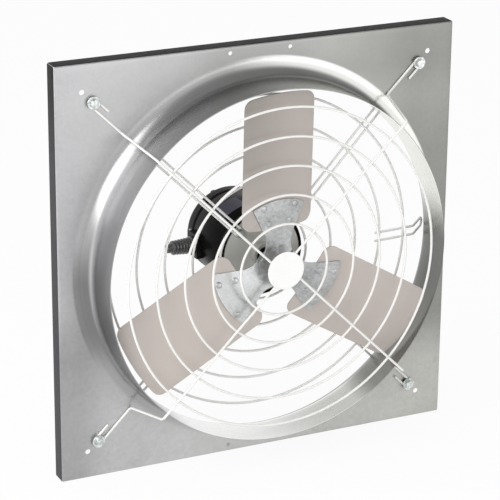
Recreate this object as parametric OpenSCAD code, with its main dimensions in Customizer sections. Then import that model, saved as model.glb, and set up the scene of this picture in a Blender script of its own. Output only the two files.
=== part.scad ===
// Panel exhaust fan: a square pressed panel with a forward collar, a wire guard on each face,
// a motor carried on the rear guard's arms, and a three-blade propeller on the motor's shaft.
// Pieces are drawn with the fan's axis upwards, the guarded front on top, and are then tipped
// so that the front faces -Y and the panel stands upright in XZ.

/* [Panel] */
// Side of the square panel
panel_size = 558.8; // [550:0.2:620]
// Thickness of the galvanised sheet
sheet = 1.2; // [0.8:0.1:2]
// Depth of the edge flange, turned to the back
flange_depth = 22; // [16:0.5:40]
// Outer radius of the bend along the panel's edges
edge_bend_r = 2.6; // [2.2:0.1:5]
// Spacing of the four wall screw holes, the same both ways
wall_hole_spacing = 485; // [470:1:500]
// Diameter of the wall screw holes
wall_hole_d = 7.2; // [5:0.1:9]
// Spacing of the two small holes at the middle of the top and bottom edges
edge_hole_spacing = 84; // [60:1:120]
// Distance of the small holes from the panel's edge
edge_hole_inset = 9.2; // [8:0.1:12]
// Diameter of the small edge holes
edge_hole_d = 5.6; // [4:0.1:7]

/* [Collar] */
// Outer radius of the straight collar
collar_r = 237.4; // [236:0.1:245]
// Height of the collar's lip over the panel's face
collar_depth = 71; // [66:0.5:74]
// Radius of the fillet between panel and collar
collar_fillet = 22.4; // [12:0.2:26]

/* [Guards] */
// Diameter of the guard wire
wire_d = 3.2; // [2.4:0.1:3.6]
// Gap left between wires that are welded together
weld_gap = 0.05; // [0.02:0.01:0.1]
// Radius of the front guard's smallest ring
front_ring_r = 61; // [52:0.5:64]
// Step from ring to ring in the front guard
front_ring_step = 38.5; // [34:0.5:40]
// Radius of the rear guard's smallest ring
rear_ring_r = 61.5; // [58:0.5:64]
// Step from ring to ring in the rear guard
rear_ring_step = 37.7; // [34:0.1:38]
// Height of the front spokes' centreline over the panel's face
guard_height = 79.4; // [78.6:0.2:95]
// Radius where a front spoke bends back towards the panel
spoke_bend_r = 246; // [243:1:252]
// Radius where it meets the panel
spoke_foot_r = 264; // [258:1:275]
// Radius where a spoke ends under the centre plate
spoke_inner_r = 9; // [7:0.5:14]
// Radius of the wire's own bends, on its centreline
wire_bend_r = 5; // [3:0.5:8]
// Half the width of a hook or hairpin, between wire centrelines
hook_r = 4.8; // [4.8:0.1:6]
// Length of a hook's short leg
hook_leg = 24; // [16:1:40]
// How far the motor's arms reach past the guard bolts
arm_overhang = 13; // [8:1:20]
// Distance inside the collar's wide end where the arms leave the panel's back and slope forward
arm_foot_inset = 3.8; // [1:0.1:8]
// Distance outside the motor's shell where they lie level again
arm_level_gap = 4; // [2:0.5:10]
// Radius of the two shallow bends in an arm
arm_bend_r = 60; // [30:5:80]
// Radius of the plate at the centre of the front guard
disc_r = 25.4; // [20:0.2:32]
// Thickness of that plate
disc_t = 1.5; // [1:0.1:3]

/* [Guard bolts] */
// Spacing of the four guard bolts, the same both ways
bolt_spacing = 457.2; // [450:0.2:464]
// Diameter of the guard bolts
bolt_d = 6; // [4.8:0.1:6]
// Clearance round a bolt in its hole, on the diameter
bolt_clearance = 0.6; // [0.3:0.1:1]
// Width across flats of the guard bolts' heads and nuts
bolt_flats = 10; // [9:0.5:11]
// Height of a bolt's head
bolt_head_h = 4.2; // [3:0.1:6]
// Height of a nut
nut_h = 5; // [4:0.1:7]
// Diameter of the guard bolts' washers
washer_d = 17; // [16:0.5:22]
// Thickness of those washers
washer_t = 1.6; // [1:0.1:2.5]
// Thread left standing out of a nut
thread_spare = 3; // [1:0.5:8]

/* [Side loop] */
// Radius where the side loop's two wires start
loop_start_r = 170; // [160:1:174]
// Radius where they bend to the back
loop_bend_r = 230; // [222:1:234]
// Straight length of the bent end
loop_tail = 35; // [15:1:38]
// Angle of the bent end behind the guard's plane
loop_angle = 45; // [30:1:60]
// Half the distance between the loop's wires
loop_half_w = 5.8; // [4:0.1:8]
// Height of the loop's middle over the fan's axis
loop_rise = -5.2; // [-20:0.1:20]

/* [Motor] */
// Height of the front bell's bright face over the panel's face
motor_face = 9.2; // [7:0.2:12]
// Outer radius of the motor's shell
shell_r = 59; // [56:0.2:60]
// Wall of the shell
shell_t = 1.5; // [1:0.1:3]
// Length of the shell
shell_len = 92; // [84:1:104]
// Width of the shell's rolled rim round the bright front end bell
rim_width = 5.6; // [5:0.1:6.4]
// Thickness of the front bell's bright step
front_bell_step = 2.7; // [2:0.1:5]
// Thickness of the front bell's flange inside the shell
front_bell_flange = 3.5; // [2:0.1:5]
// Gap between the shell's rolled rim and the front bell, on the radius
rim_gap = 0.1; // [0.05:0.05:0.4]
// Radius of the bearing boss on both bells
bell_boss_r = 16; // [12:0.5:20]
// Height of the front boss over the bright face
front_boss_h = 12; // [6:0.5:16]
// Length of the rear end bell behind the shell
rear_bell_len = 23; // [20:1:35]
// Radius of the rear bell's rounded corner
rear_bell_round = 14; // [6:1:16]
// Wall of the rear bell
rear_bell_t = 3; // [2:0.1:4]
// Distance of the rear bell's screws inside the shell's outer radius
ear_inset = 7.5; // [6:0.5:9]
// Radius of an ear
ear_r = 5; // [4:0.1:6]
// Angle of the ears from the vertical
ear_angle = 20; // [12:1:35]
// Length of the bells' spigots inside the shell
bell_spigot = 6; // [4:0.5:8]
// Diameter of the rear bell's screws
bell_screw_d = 4; // [3:0.1:5]
// Diameter of their heads
bell_screw_head_d = 7.6; // [6:0.1:9]
// Height of their heads
bell_screw_head_h = 3; // [2:0.1:4]
// Distance of the mounting studs inside the shell's outer radius
stud_inset = 13; // [12.5:0.5:19]
// Diameter of the mounting studs
stud_d = 5; // [4:0.1:6]
// Width across flats of the stud nuts
stud_nut_flats = 8; // [7:0.5:9]
// Height of a stud nut
stud_nut_h = 4; // [3:0.1:5]
// Diameter of the stud washers
stud_washer_d = 12.5; // [11:0.5:14]
// Thickness of the stud washers
stud_washer_t = 1; // [0.6:0.1:1.6]
// Thread of a stud left standing out of its nut
stud_spare = 2; // [1:0.5:4]
// Length of the stator's lamination stack
core_len = 38; // [30:1:46]
// Air gap between stator and rotor
air_gap = 0.4; // [0.3:0.05:0.8]
// Radius of the rotor
rotor_r = 30; // [24:0.5:34]
// Slots in the stator
slot_count = 24; // [12:4:24]
// Width of a slot
slot_w = 3; // [2:0.1:3.5]
// Solid ring of the laminations outside the slots
back_iron = 9; // [6:0.5:12]
// Solid teeth between the slots and the air gap
tooth_tip = 2; // [1:0.1:3]
// Length of each end turn of the windings
end_turn_len = 10; // [6:1:12]
// Length of the rotor's cast end rings
end_ring_len = 4; // [2:0.5:6]
// Width of the rotor's cast end rings
end_ring_w = 10; // [6:1:14]

/* [Shaft and bearings] */
// Diameter of the motor's shaft
shaft_d = 8; // [6:0.1:10]
// Running clearance of the shaft in its bearings, on the radius
running_clearance = 0.04; // [0.02:0.01:0.1]
// Clearance of pieces that are pushed together, on the radius
fit_clearance = 0.02; // [0.01:0.01:0.1]
// Outer radius of the sleeve bearings
bearing_r = 9; // [7:0.5:11]
// Length of the front bearing
front_bearing_len = 20; // [14:1:22]
// Length of the rear bearing
rear_bearing_len = 14; // [10:1:15]
// Radius of the thrust collars on the shaft
collar_ring_r = 8; // [6:0.5:9]
// Thickness of the thrust collars
collar_ring_t = 2; // [1:0.1:4]
// Gap between a turning face and a still one
end_float = 0.5; // [0.3:0.1:1.5]
// Radius of the rubber slinger on the shaft
slinger_r = 13; // [9:0.5:15]
// Thickness of the slinger
slinger_t = 3; // [2:0.1:5]
// Lip of the front bell before its bearing
bearing_lip = 1; // [0.5:0.1:3]
// Clearance of the shaft in that lip, on the radius
lip_clearance = 1; // [0.5:0.1:2]

/* [Terminal box] */
// Height of the box across the motor
box_h = 30; // [28:1:40]
// Length of the box along the motor
box_len = 30; // [28:1:40]
// How far the box stands out from the shell
box_out = 5.5; // [5.5:0.5:12]
// Wall of the box and thickness of its lid
box_wall = 2; // [1.5:0.1:3]
// Distance from the shell's rear edge to the box
box_rear_gap = 0.2; // [0.1:0.1:6]
// Height of the box's middle over the fan's axis
box_rise = -6; // [-12:1:12]
// How far the box and its lid reach in over the shell's curve
box_saddle = 10; // [8:1:14]
// Gap between the box and the shell
box_seat_gap = 0.1; // [0.05:0.05:0.3]
// Diameter of the lid screws' heads
lid_screw_d = 4.5; // [4:0.1:5]
// Height of the lid screws' heads
lid_screw_h = 1.5; // [1:0.1:2.5]
// Length of the cable inlet's tapered boot
boot_len = 36.5; // [20:0.5:45]
// Radius of the boot at the box
boot_root_r = 12; // [10:0.5:13]
// Radius of the boot at its mouth
boot_mouth_r = 8.6; // [6:0.2:10]
// Radius of the cable hole through the boot
boot_hole_r = 4.2; // [3:0.1:5]
// Wall of the boot's neck through the box
boot_neck_t = 2; // [1:0.1:3]
// Grooves round the boot
boot_grooves = 4; // [2:1:5]
// Radius of a groove's round bottom
groove_r = 1.1; // [0.6:0.1:1.4]
// Angle of the blank plate's middle round the motor
plate_angle = 118; // [100:1:130]
// Angle that the plate covers
plate_sweep = 38; // [20:1:50]
// Length of the plate along the motor
plate_len = 34; // [20:1:50]
// Distance of the plate behind the front bell's bright face
plate_back = 28; // [8:1:40]
// Thickness of the plate
plate_t = 0.5; // [0.3:0.1:1]

/* [Propeller] */
// Radius of the blades' tips
tip_r = 228.6; // [222:0.2:229.4]
// Half the width of a blade
blade_half_w = 53.6; // [44:0.2:56]
// Radius where the blades start
blade_root_r = 50; // [46:0.5:60]
// Radius of the corners at a blade's root
root_corner_r = 14; // [6:1:24]
// Radius of the corners at a blade's tip
tip_corner_r = 13; // [6:1:24]
// Thickness of a blade
blade_t = 1.6; // [1:0.1:2]
// Angle of the blades to the plane of rotation
blade_pitch = 10; // [6:0.5:12]
// Radius of the blades' curve across their width
camber_r = 340; // [300:10:600]
// Height of the blades' middle over the panel's face
blade_height = 55.2; // [50:0.2:57]
// Angle of the first blade at rest, from the panel's right-hand side
blade_phase = 89; // [0:1:120]
// Radius of the hub plate's arms
spider_r = 88; // [80:1:95]
// Thickness of the hub plate
spider_t = 2; // [1.2:0.1:2.6]
// Half angle of an arm
arm_half_angle = 27; // [22:1:32]
// Radius of the hub plate's waist between two arms
waist_r = 27; // [24:0.5:30]
// Gap between an arm and its blade
seat_gap = 0.1; // [0.05:0.05:0.3]
// Radius of the hub's boss
boss_r = 13; // [11:0.5:16]
// Length of the boss behind the hub plate
boss_len = 24; // [16:1:28]
// Radius of the boss's spigot through the hub plate
spigot_r = 8.5; // [7:0.1:10]
// Height of the spigot's riveted edge before the hub plate
spigot_edge = 1; // [0.5:0.1:2]
// Shaft left standing out before the hub plate
shaft_spare = 4; // [2:0.5:8]
// Diameter of the set screw
set_screw_d = 5; // [4:0.5:6]
// Distance from the boss's back to the set screw
set_screw_back = 8; // [5:0.5:12]
// Distance of the inner rivets from the axis, along an arm
inner_rivet_r = 58; // [55:0.5:64]
// Offset of the inner rivets from the arm's middle
inner_rivet_off = 16; // [10:0.5:19]
// Distance of the outer rivets from the axis, along an arm
outer_rivet_r = 79; // [74:0.5:80]
// Offset of the outer rivets from the arm's middle
outer_rivet_off = 24; // [16:0.5:28]
// Diameter of the blade rivets
rivet_d = 4.8; // [3:0.1:6]
// Diameter of a rivet's head
rivet_head_d = 9; // [7:0.5:11]
// Height of a rivet's head
rivet_head_h = 2; // [1:0.1:3]
// Gap between a rivet's head and the sheet under it
rivet_gap = 0.2; // [0.1:0.05:0.4]

/* [Hidden] */
$fn = 96;
blade_count = 3;
wire_sides = 10;
bend_steps = 6;

galvanised = [0.72, 0.73, 0.73];
white_wire = [0.93, 0.93, 0.91];
zinc = [0.75, 0.78, 0.76];
black_paint = [0.06, 0.06, 0.07];
bare_alloy = [0.62, 0.62, 0.58];
blade_paint = [0.74, 0.68, 0.65];

panel_half = panel_size / 2;
wire_r = wire_d / 2;
bolt_half = bolt_spacing / 2;
bolt_circle_r = bolt_half * sqrt(2);
panel_bend_in_r = edge_bend_r - sheet;

// Heights along the fan's axis, from the panel's front face
arm_out_z = -sheet - wire_r;
arm_in_z = motor_face + wire_r;
arm_level_r = shell_r + arm_level_gap;
arm_foot_r = collar_r + collar_fillet - arm_foot_inset;
front_ring_z = guard_height - wire_d - weld_gap;
disc_z = guard_height + wire_r + weld_gap;
bell_face_z = motor_face;
shell_front_z = bell_face_z - front_bell_step + shell_t;
shell_rear_z = shell_front_z - shell_len;
shell_in_r = shell_r - shell_t;
front_bell_r = shell_r - rim_width;
ear_circle_r = shell_r - ear_inset;
stud_circle_r = shell_r - stud_inset;
bell_back_z = bell_face_z - front_bell_step - front_bell_flange;
front_boss_z = bell_face_z + front_boss_h;
core_mid_z = (bell_back_z + shell_rear_z + bell_spigot) / 2;
core_front_z = core_mid_z + core_len / 2;
core_rear_z = core_mid_z - core_len / 2;
rear_face_z = shell_rear_z - rear_bell_len;
rear_bearing_z = rear_face_z + rear_bell_t;
front_bearing_z = front_boss_z - bearing_lip - front_bearing_len;
shaft_r = shaft_d / 2;
spider_z = blade_height + blade_t / 2 + seat_gap;
boss_back_z = spider_z - boss_len;
shaft_front_z = spider_z + spider_t + shaft_spare;
shaft_rear_z = rear_bearing_z + end_float;
stator_bore_r = rotor_r + air_gap;
arm_end_r = bolt_circle_r + arm_overhang;
washer_hole_r = (bolt_d + bolt_clearance) / 2;
box_z = shell_rear_z + box_rear_gap + box_len / 2;
box_x = -shell_r - box_out;
box_top = box_rise + box_h / 2;
set_screw_angle = blade_phase + 180 / blade_count;
camber_room = camber_r / 8;
rivet_hole_r = rivet_d / 2 + fit_clearance;
rivet_reach = 20;
cast_sink = 1;

// Tips the fan's axis from up to the front
module upright() {
    rotate([90, 0, 0])
        children();
}

// The four corners, as angles round the axis
module at_corners(circle_r) {
    for (k = [0 : 3])
        rotate([0, 0, 45 + 90 * k])
            translate([circle_r, 0, 0])
                children();
}

module tube(outer_r, inner_r, height) {
    difference() {
        cylinder(h = height, r = outer_r);
        translate([0, 0, -1])
            cylinder(h = height + 2, r = inner_r);
    }
}

module hexagon(flats, height) {
    cylinder(h = height, d = flats / cos(30), $fn = 6);
}

// A hexagon nut or washer face with a round hole
module nut(flats, height, hole_r) {
    difference() {
        hexagon(flats, height);
        translate([0, 0, -1])
            cylinder(h = height + 2, r = hole_r);
    }
}

// A wire ring in the XY plane
module wire_ring(ring_r) {
    rotate_extrude($fn = 96)
        translate([ring_r, 0])
            circle(r = wire_r, $fn = 32);
}

// Points of an arc in a plane, both ends included
function arc(centre, r, from, to, steps) =
    [for (i = [0 : steps]) let (a = from + (to - from) * i / steps) centre + r * [cos(a), sin(a)]];

// Arc that rounds the corner at b on the way from a to c, in a plane
function corner_arc(a, b, c, r) =
    let (
        come = atan2(b.y - a.y, b.x - a.x),
        leave = atan2(c.y - b.y, c.x - b.x),
        bend = leave - come,
        side = bend > 0 ? 1 : -1,
        start = b - r * tan(abs(bend) / 2) * [cos(come), sin(come)],
        centre = start + r * side * [-sin(come), cos(come)]
    )
    arc(centre, r, come - 90 * side, leave - 90 * side, bend_steps);

function unit(v) = v / norm(v);

// Direction of a path at one of its points
function tangent(path, i) =
    unit(path[min(i + 1, len(path) - 1)] - path[max(i - 1, 0)]);

// Normal carried along a path, so that the tube round it doesn't twist
function carried(path, i) =
    i == 0
        ? unit(cross(tangent(path, 0), [0.3, 0.5, 1]))
        : let (n = carried(path, i - 1), t = tangent(path, i)) unit(n - (n * t) * t);

// Round wire along the points of a path in space
module wire_along(path) {
    points = [
        for (i = [0 : len(path) - 1])
            let (t = tangent(path, i), n = carried(path, i), m = cross(t, n))
                for (k = [0 : wire_sides - 1])
                    let (a = 360 * k / wire_sides)
                        path[i] + wire_r * (cos(a) * n + sin(a) * m)
    ];
    last = (len(path) - 1) * wire_sides;
    walls = [
        for (i = [0 : len(path) - 2], k = [0 : wire_sides - 1], half = [0, 1])
            let (
                j = (k + 1) % wire_sides,
                low = i * wire_sides,
                high = low + wire_sides
            )
                half == 0 ? [low + k, high + k, low + j] : [low + j, high + k, high + j]
    ];
    caps = [
        for (k = [1 : wire_sides - 2])
            each [[0, k, k + 1], [last, last + k + 1, last + k]]
    ];
    polyhedron(points = points, faces = concat(walls, caps));
}

// Square plate with rounded front edges, its front at z = 0
module dished_block(half, depth, bend) {
    intersection() {
        rotate([90, 0, 0])
            translate([0, 0, -half])
                linear_extrude(2 * half)
                    edge_profile(half, depth, bend);
        rotate([90, 0, 90])
            translate([0, 0, -half])
                linear_extrude(2 * half)
                    edge_profile(half, depth, bend);
    }
}

module edge_profile(half, depth, bend) {
    translate([-half, -depth])
        square([2 * half, depth - bend]);
    translate([bend - half, -depth])
        square([2 * (half - bend), depth]);
    for (side = [-1, 1])
        translate([side * (half - bend), -bend])
            circle(r = bend, $fn = 32);
}

// Wall of the collar and its fillet, right of the axis
module collar_profile() {
    fillet_r = collar_r + collar_fillet;
    translate([collar_r - sheet, collar_fillet])
        square([sheet, collar_depth - collar_fillet]);
    intersection() {
        translate([fillet_r, collar_fillet])
            difference() {
                circle(r = collar_fillet + sheet);
                circle(r = collar_fillet);
            }
        translate([collar_r - sheet, -sheet])
            square([collar_fillet + sheet, collar_fillet + sheet]);
    }
}

module venturi_panel() {
    color(galvanised)
        upright() {
            difference() {
                dished_block(panel_half, flange_depth, edge_bend_r);
                translate([0, 0, -sheet])
                    dished_block(panel_half - sheet, flange_depth, panel_bend_in_r);
                translate([0, 0, -sheet - 1])
                    cylinder(h = sheet + 2, r = collar_r + collar_fillet, $fn = 180);
                for (x = [-1, 1], y = [-1, 1]) {
                    translate([x * wall_hole_spacing / 2, y * wall_hole_spacing / 2, -sheet - 1])
                        cylinder(h = sheet + 2, d = wall_hole_d);
                    translate([x * bolt_half, y * bolt_half, -sheet - 1])
                        cylinder(h = sheet + 2, r = washer_hole_r);
                    translate([x * edge_hole_spacing / 2, y * (panel_half - edge_hole_inset), -sheet - 1])
                        cylinder(h = sheet + 2, d = edge_hole_d);
                }
            }
            rotate_extrude($fn = 180)
                collar_profile();
        }
}

module guard_bolts() {
    head_z = wire_d + washer_t;
    end_z = -sheet - wire_d - washer_t - nut_h - thread_spare;
    color(zinc)
        upright()
            at_corners(bolt_circle_r) {
                translate([0, 0, head_z])
                    hexagon(bolt_flats, bolt_head_h);
                translate([0, 0, end_z])
                    cylinder(h = head_z - end_z + bolt_head_h / 2, d = bolt_d);
            }
}

module front_washers() {
    color(zinc)
        upright()
            at_corners(bolt_circle_r)
                translate([0, 0, wire_d])
                    tube(washer_d / 2, washer_hole_r, washer_t);
}

module rear_washers() {
    color(zinc)
        upright()
            at_corners(bolt_circle_r)
                translate([0, 0, -sheet - wire_d - washer_t])
                    tube(washer_d / 2, washer_hole_r, washer_t);
}

module guard_nuts() {
    color(zinc)
        upright()
            at_corners(bolt_circle_r)
                translate([0, 0, -sheet - wire_d - washer_t - nut_h])
                    nut(bolt_flats, nut_h, bolt_d / 2 + fit_clearance);
}

module front_ring(k) {
    color(white_wire)
        upright()
            translate([0, 0, front_ring_z])
                wire_ring(front_ring_r + front_ring_step * (k - 1));
}

// One wire: straight under the plate, down past the lip, along the panel and round its bolt
module front_spoke(k) {
    inner = [spoke_inner_r, guard_height];
    brow = [spoke_bend_r, guard_height];
    foot = [spoke_foot_r, wire_r];
    bolt = [bolt_circle_r, wire_r];
    drop = concat(corner_arc(inner, brow, foot, wire_bend_r), corner_arc(brow, foot, bolt, wire_bend_r));
    hook = arc([bolt_circle_r, 0], hook_r, 90, -90, 2 * bend_steps);
    color(white_wire)
        upright()
            rotate([0, 0, 45 + 90 * (k - 1)])
                wire_along(concat(
                    [for (p = concat([inner], drop)) [p.x, hook_r, p.y]],
                    [for (p = hook) [p.x, p.y, wire_r]],
                    [[bolt_circle_r - hook_leg, -hook_r, wire_r]]
                ));
}

module front_disc() {
    color(white_wire)
        upright()
            translate([0, 0, disc_z])
                cylinder(h = disc_t, r = disc_r);
}

// Height of the arms' centreline where they slope
function arm_z(r) =
    let (share = (arm_foot_r - r) / (arm_foot_r - arm_level_r))
    arm_out_z + (arm_in_z - arm_out_z) * min(1, share);

// The rings lie on the front of the arms, so the rear guard is a little dished
module rear_ring(k) {
    ring_r = rear_ring_r + rear_ring_step * (k - 1);
    color(white_wire)
        upright()
            translate([0, 0, arm_z(ring_r) + wire_d + weld_gap])
                wire_ring(ring_r);
}

// Hairpin round the motor's stud: level on the motor, sloping to the panel's back, and level past its bolt
module motor_arm(k) {
    out = [arm_end_r, arm_out_z];
    foot = [arm_foot_r, arm_out_z];
    level = [arm_level_r, arm_in_z];
    stud = [stud_circle_r, arm_in_z];
    leg = concat([out], corner_arc(out, foot, level, arm_bend_r), corner_arc(foot, level, stud, arm_bend_r));
    turn = arc([stud_circle_r, 0], hook_r, 90, 270, 2 * bend_steps);
    steps = len(leg) - 1;
    color(white_wire)
        upright()
            rotate([0, 0, 45 + 90 * (k - 1)])
                wire_along(concat(
                    [for (p = leg) [p.x, hook_r, p.y]],
                    [for (p = turn) [p.x, p.y, arm_in_z]],
                    [for (i = [0 : steps]) [leg[steps - i].x, -hook_r, leg[steps - i].y]]
                ));
}

// Hairpin on the rear guard's outer rings, with its closed end bent to the back
module side_loop() {
    start = [loop_start_r, arm_z(loop_start_r)];
    bend = [loop_bend_r, arm_z(loop_bend_r)];
    end = bend + loop_tail * [cos(loop_angle), -sin(loop_angle)];
    side = concat([start], corner_arc(start, bend, end, wire_bend_r));
    turn = arc([0, 0], loop_half_w, 90, -90, 2 * bend_steps);
    steps = len(side) - 1;
    color(white_wire)
        upright()
            translate([0, loop_rise, 0])
                wire_along(concat(
                    [for (p = side) [p.x, loop_half_w, p.y]],
                    [for (p = turn) [end.x + p.x * cos(loop_angle), p.y, end.y - p.x * sin(loop_angle)]],
                    [for (i = [0 : steps]) [side[steps - i].x, -loop_half_w, side[steps - i].y]]
                ));
}

module motor_shell() {
    color(black_paint)
        upright() {
            translate([0, 0, shell_rear_z])
                tube(shell_r, shell_in_r, shell_len);
            translate([0, 0, shell_front_z - shell_t])
                tube(shell_r - shell_t / 2, front_bell_r + rim_gap, shell_t);
        }
}

module front_end_bell() {
    color(bare_alloy)
        upright()
            difference() {
                union() {
                    translate([0, 0, bell_back_z])
                        cylinder(h = bell_face_z - bell_back_z, r = front_bell_r);
                    translate([0, 0, bell_back_z])
                        cylinder(h = front_bell_flange, r = shell_in_r - fit_clearance);
                    translate([0, 0, front_bearing_z])
                        cylinder(h = front_boss_z - front_bearing_z, r = bell_boss_r);
                }
                translate([0, 0, front_bearing_z - 1])
                    cylinder(h = front_bearing_len + 1, r = bearing_r + fit_clearance);
                translate([0, 0, front_bearing_z])
                    cylinder(h = front_bearing_len + bearing_lip + 1, r = shaft_r + lip_clearance);
                at_corners(stud_circle_r)
                    translate([0, 0, bell_back_z - 1])
                        cylinder(h = bell_face_z - bell_back_z + 2, r = stud_d / 2 + fit_clearance);
            }
}

module rear_bell_outline(outer_r, back, round_r) {
    square([outer_r - round_r, back]);
    square([outer_r, back - round_r]);
    translate([outer_r - round_r, back - round_r])
        circle(r = round_r);
}

// The two ears above the axis and the two below, as angles
module at_ears() {
    for (middle = [90, 270], side = [-1, 1])
        rotate([0, 0, middle + side * ear_angle])
            translate([ear_circle_r, 0, 0])
                children();
}

module rear_end_bell() {
    cavity_r = ear_circle_r - ear_r - rear_bell_t;
    cavity_len = rear_bell_len - rear_bell_t + bell_spigot + 1;
    color(black_paint)
        upright()
            difference() {
                union() {
                    translate([0, 0, shell_rear_z])
                        mirror([0, 0, 1])
                            rotate_extrude()
                                intersection() {
                                    rear_bell_outline(shell_r, rear_bell_len, rear_bell_round);
                                    square([shell_r, rear_bell_len]);
                                }
                    translate([0, 0, shell_rear_z])
                        cylinder(h = bell_spigot, r = shell_in_r - fit_clearance);
                    at_ears()
                        translate([0, 0, rear_face_z + bell_screw_head_h])
                            cylinder(h = rear_bell_len - bell_screw_head_h, r = ear_r);
                }
                difference() {
                    translate([0, 0, rear_bearing_z])
                        cylinder(h = cavity_len, r = cavity_r);
                    translate([0, 0, rear_face_z])
                        cylinder(h = rear_bell_t + rear_bearing_len, r = bell_boss_r);
                }
                translate([0, 0, rear_bearing_z])
                    cylinder(h = rear_bearing_len + 1, r = bearing_r + fit_clearance);
                at_ears()
                    translate([0, 0, rear_face_z - 1]) {
                        cylinder(h = rear_bell_len, d = bell_screw_d);
                        cylinder(h = bell_screw_head_h + 1, d = bell_screw_head_d + 2 * fit_clearance);
                    }
            }
}

module rear_bell_screws() {
    color(zinc)
        upright()
            at_ears() {
                translate([0, 0, rear_face_z])
                    cylinder(h = bell_screw_head_h, d = bell_screw_head_d);
                translate([0, 0, rear_face_z + bell_screw_head_h / 2])
                    cylinder(h = rear_bell_len - bell_screw_head_h, d = bell_screw_d - 2 * fit_clearance);
            }
}

module mounting_studs() {
    stud_end_z = bell_face_z + wire_d + stud_washer_t + stud_nut_h + stud_spare;
    color(zinc)
        upright()
            at_corners(stud_circle_r)
                translate([0, 0, bell_back_z])
                    cylinder(h = stud_end_z - bell_back_z, d = stud_d);
}

module stud_washers() {
    color(zinc)
        upright()
            at_corners(stud_circle_r)
                translate([0, 0, bell_face_z + wire_d])
                    tube(stud_washer_d / 2, (stud_d + bolt_clearance) / 2, stud_washer_t);
}

module stud_nuts() {
    color(zinc)
        upright()
            at_corners(stud_circle_r)
                translate([0, 0, bell_face_z + wire_d + stud_washer_t])
                    nut(stud_nut_flats, stud_nut_h, stud_d / 2 + fit_clearance);
}

module stator_core() {
    slot_in_r = stator_bore_r + tooth_tip;
    slot_out_r = shell_in_r - back_iron;
    color([0.35, 0.36, 0.38])
        upright()
            translate([0, 0, core_rear_z])
                difference() {
                    tube(shell_in_r - fit_clearance, stator_bore_r, core_len);
                    for (k = [0 : slot_count - 1])
                        rotate([0, 0, 360 * (k + 0.5) / slot_count])
                            translate([slot_in_r, -slot_w / 2, -1])
                                cube([slot_out_r - slot_in_r, slot_w, core_len + 2]);
                }
}

module windings() {
    turn_in_r = stator_bore_r + tooth_tip + fit_clearance;
    turn_out_r = shell_in_r - back_iron - fit_clearance;
    strand_w = slot_w - 2 * fit_clearance;
    color([0.62, 0.3, 0.12])
        upright() {
            for (z = [core_front_z, core_rear_z - end_turn_len])
                translate([0, 0, z])
                    tube(turn_out_r, turn_in_r, end_turn_len);
            for (k = [0 : slot_count - 1])
                rotate([0, 0, 360 * (k + 0.5) / slot_count])
                    translate([turn_in_r + 1, -strand_w / 2, core_rear_z - 1])
                        cube([turn_out_r - turn_in_r - 2, strand_w, core_len + 2]);
        }
}

module front_bearing() {
    color([0.66, 0.5, 0.25])
        upright()
            translate([0, 0, front_bearing_z])
                tube(bearing_r, shaft_r + running_clearance, front_bearing_len);
}

module rear_bearing() {
    color([0.66, 0.5, 0.25])
        upright()
            translate([0, 0, rear_bearing_z])
                tube(bearing_r, shaft_r + running_clearance, rear_bearing_len);
}

// Space that the shell takes out of what sits on it
module shell_seat() {
    translate([0, 0, shell_rear_z])
        cylinder(h = shell_len, r = shell_r + box_seat_gap);
}

// Small steel box on the motor's side, open at the top, with the cable inlet in its outer wall
module terminal_box() {
    floor_y = box_rise - box_h / 2;
    color(black_paint)
        upright()
            difference() {
                translate([box_x, floor_y, box_z - box_len / 2])
                    cube([box_out + box_saddle, box_h, box_len]);
                translate([box_x + box_wall, floor_y + box_wall, box_z - box_len / 2 + box_wall])
                    cube([box_out + box_saddle - 2 * box_wall, box_h, box_len - 2 * box_wall]);
                shell_seat();
                translate([box_x - 1, box_rise, box_z])
                    rotate([0, 90, 0])
                        cylinder(h = box_wall + 2, r = boot_hole_r + boot_neck_t);
            }
}

module terminal_lid() {
    color(black_paint)
        upright()
            difference() {
                translate([box_x, box_top, box_z - box_len / 2])
                    cube([box_out + box_saddle, box_wall, box_len]);
                shell_seat();
            }
}

module lid_screws() {
    screw_off = box_len / 2 - lid_screw_d;
    color(zinc)
        upright()
            for (z = [box_z - screw_off, box_z + screw_off])
                translate([box_x + box_out / 2, box_top + box_wall, z])
                    rotate([-90, 0, 0])
                        cylinder(h = lid_screw_h, d = lid_screw_d);
}

// Ribbed rubber boot for the supply cable, tapering away from the box
module cable_boot() {
    groove_step = boot_len / (boot_grooves + 2);
    taper = (boot_root_r - boot_mouth_r) / (boot_grooves + 2);
    color([0.09, 0.09, 0.1])
        upright()
            translate([box_x, box_rise, box_z])
                rotate([0, -90, 0])
                    difference() {
                        union() {
                            cylinder(h = boot_len, r1 = boot_root_r, r2 = boot_mouth_r);
                            translate([0, 0, -box_wall])
                                cylinder(h = box_wall + 1, r = boot_hole_r + boot_neck_t - fit_clearance);
                        }
                        translate([0, 0, -box_wall - 1])
                            cylinder(h = boot_len + box_wall + 2, r = boot_hole_r);
                        for (k = [1 : boot_grooves])
                            translate([0, 0, groove_step * (k + 1)])
                                rotate_extrude()
                                    translate([boot_root_r - taper * (k + 1), 0])
                                        circle(r = groove_r, $fn = 24);
                    }
}

// Blank curved plate on the shell
module rating_plate() {
    color([0.14, 0.15, 0.2])
        upright()
            translate([0, 0, bell_face_z - plate_back - plate_len])
                rotate([0, 0, plate_angle - plate_sweep / 2])
                    rotate_extrude(angle = plate_sweep)
                        translate([shell_r + fit_clearance, 0])
                            square([plate_t, plate_len]);
}

module motor_shaft() {
    color([0.78, 0.78, 0.78])
        upright()
            translate([0, 0, shaft_rear_z])
                cylinder(h = shaft_front_z - shaft_rear_z, r = shaft_r);
}

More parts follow.
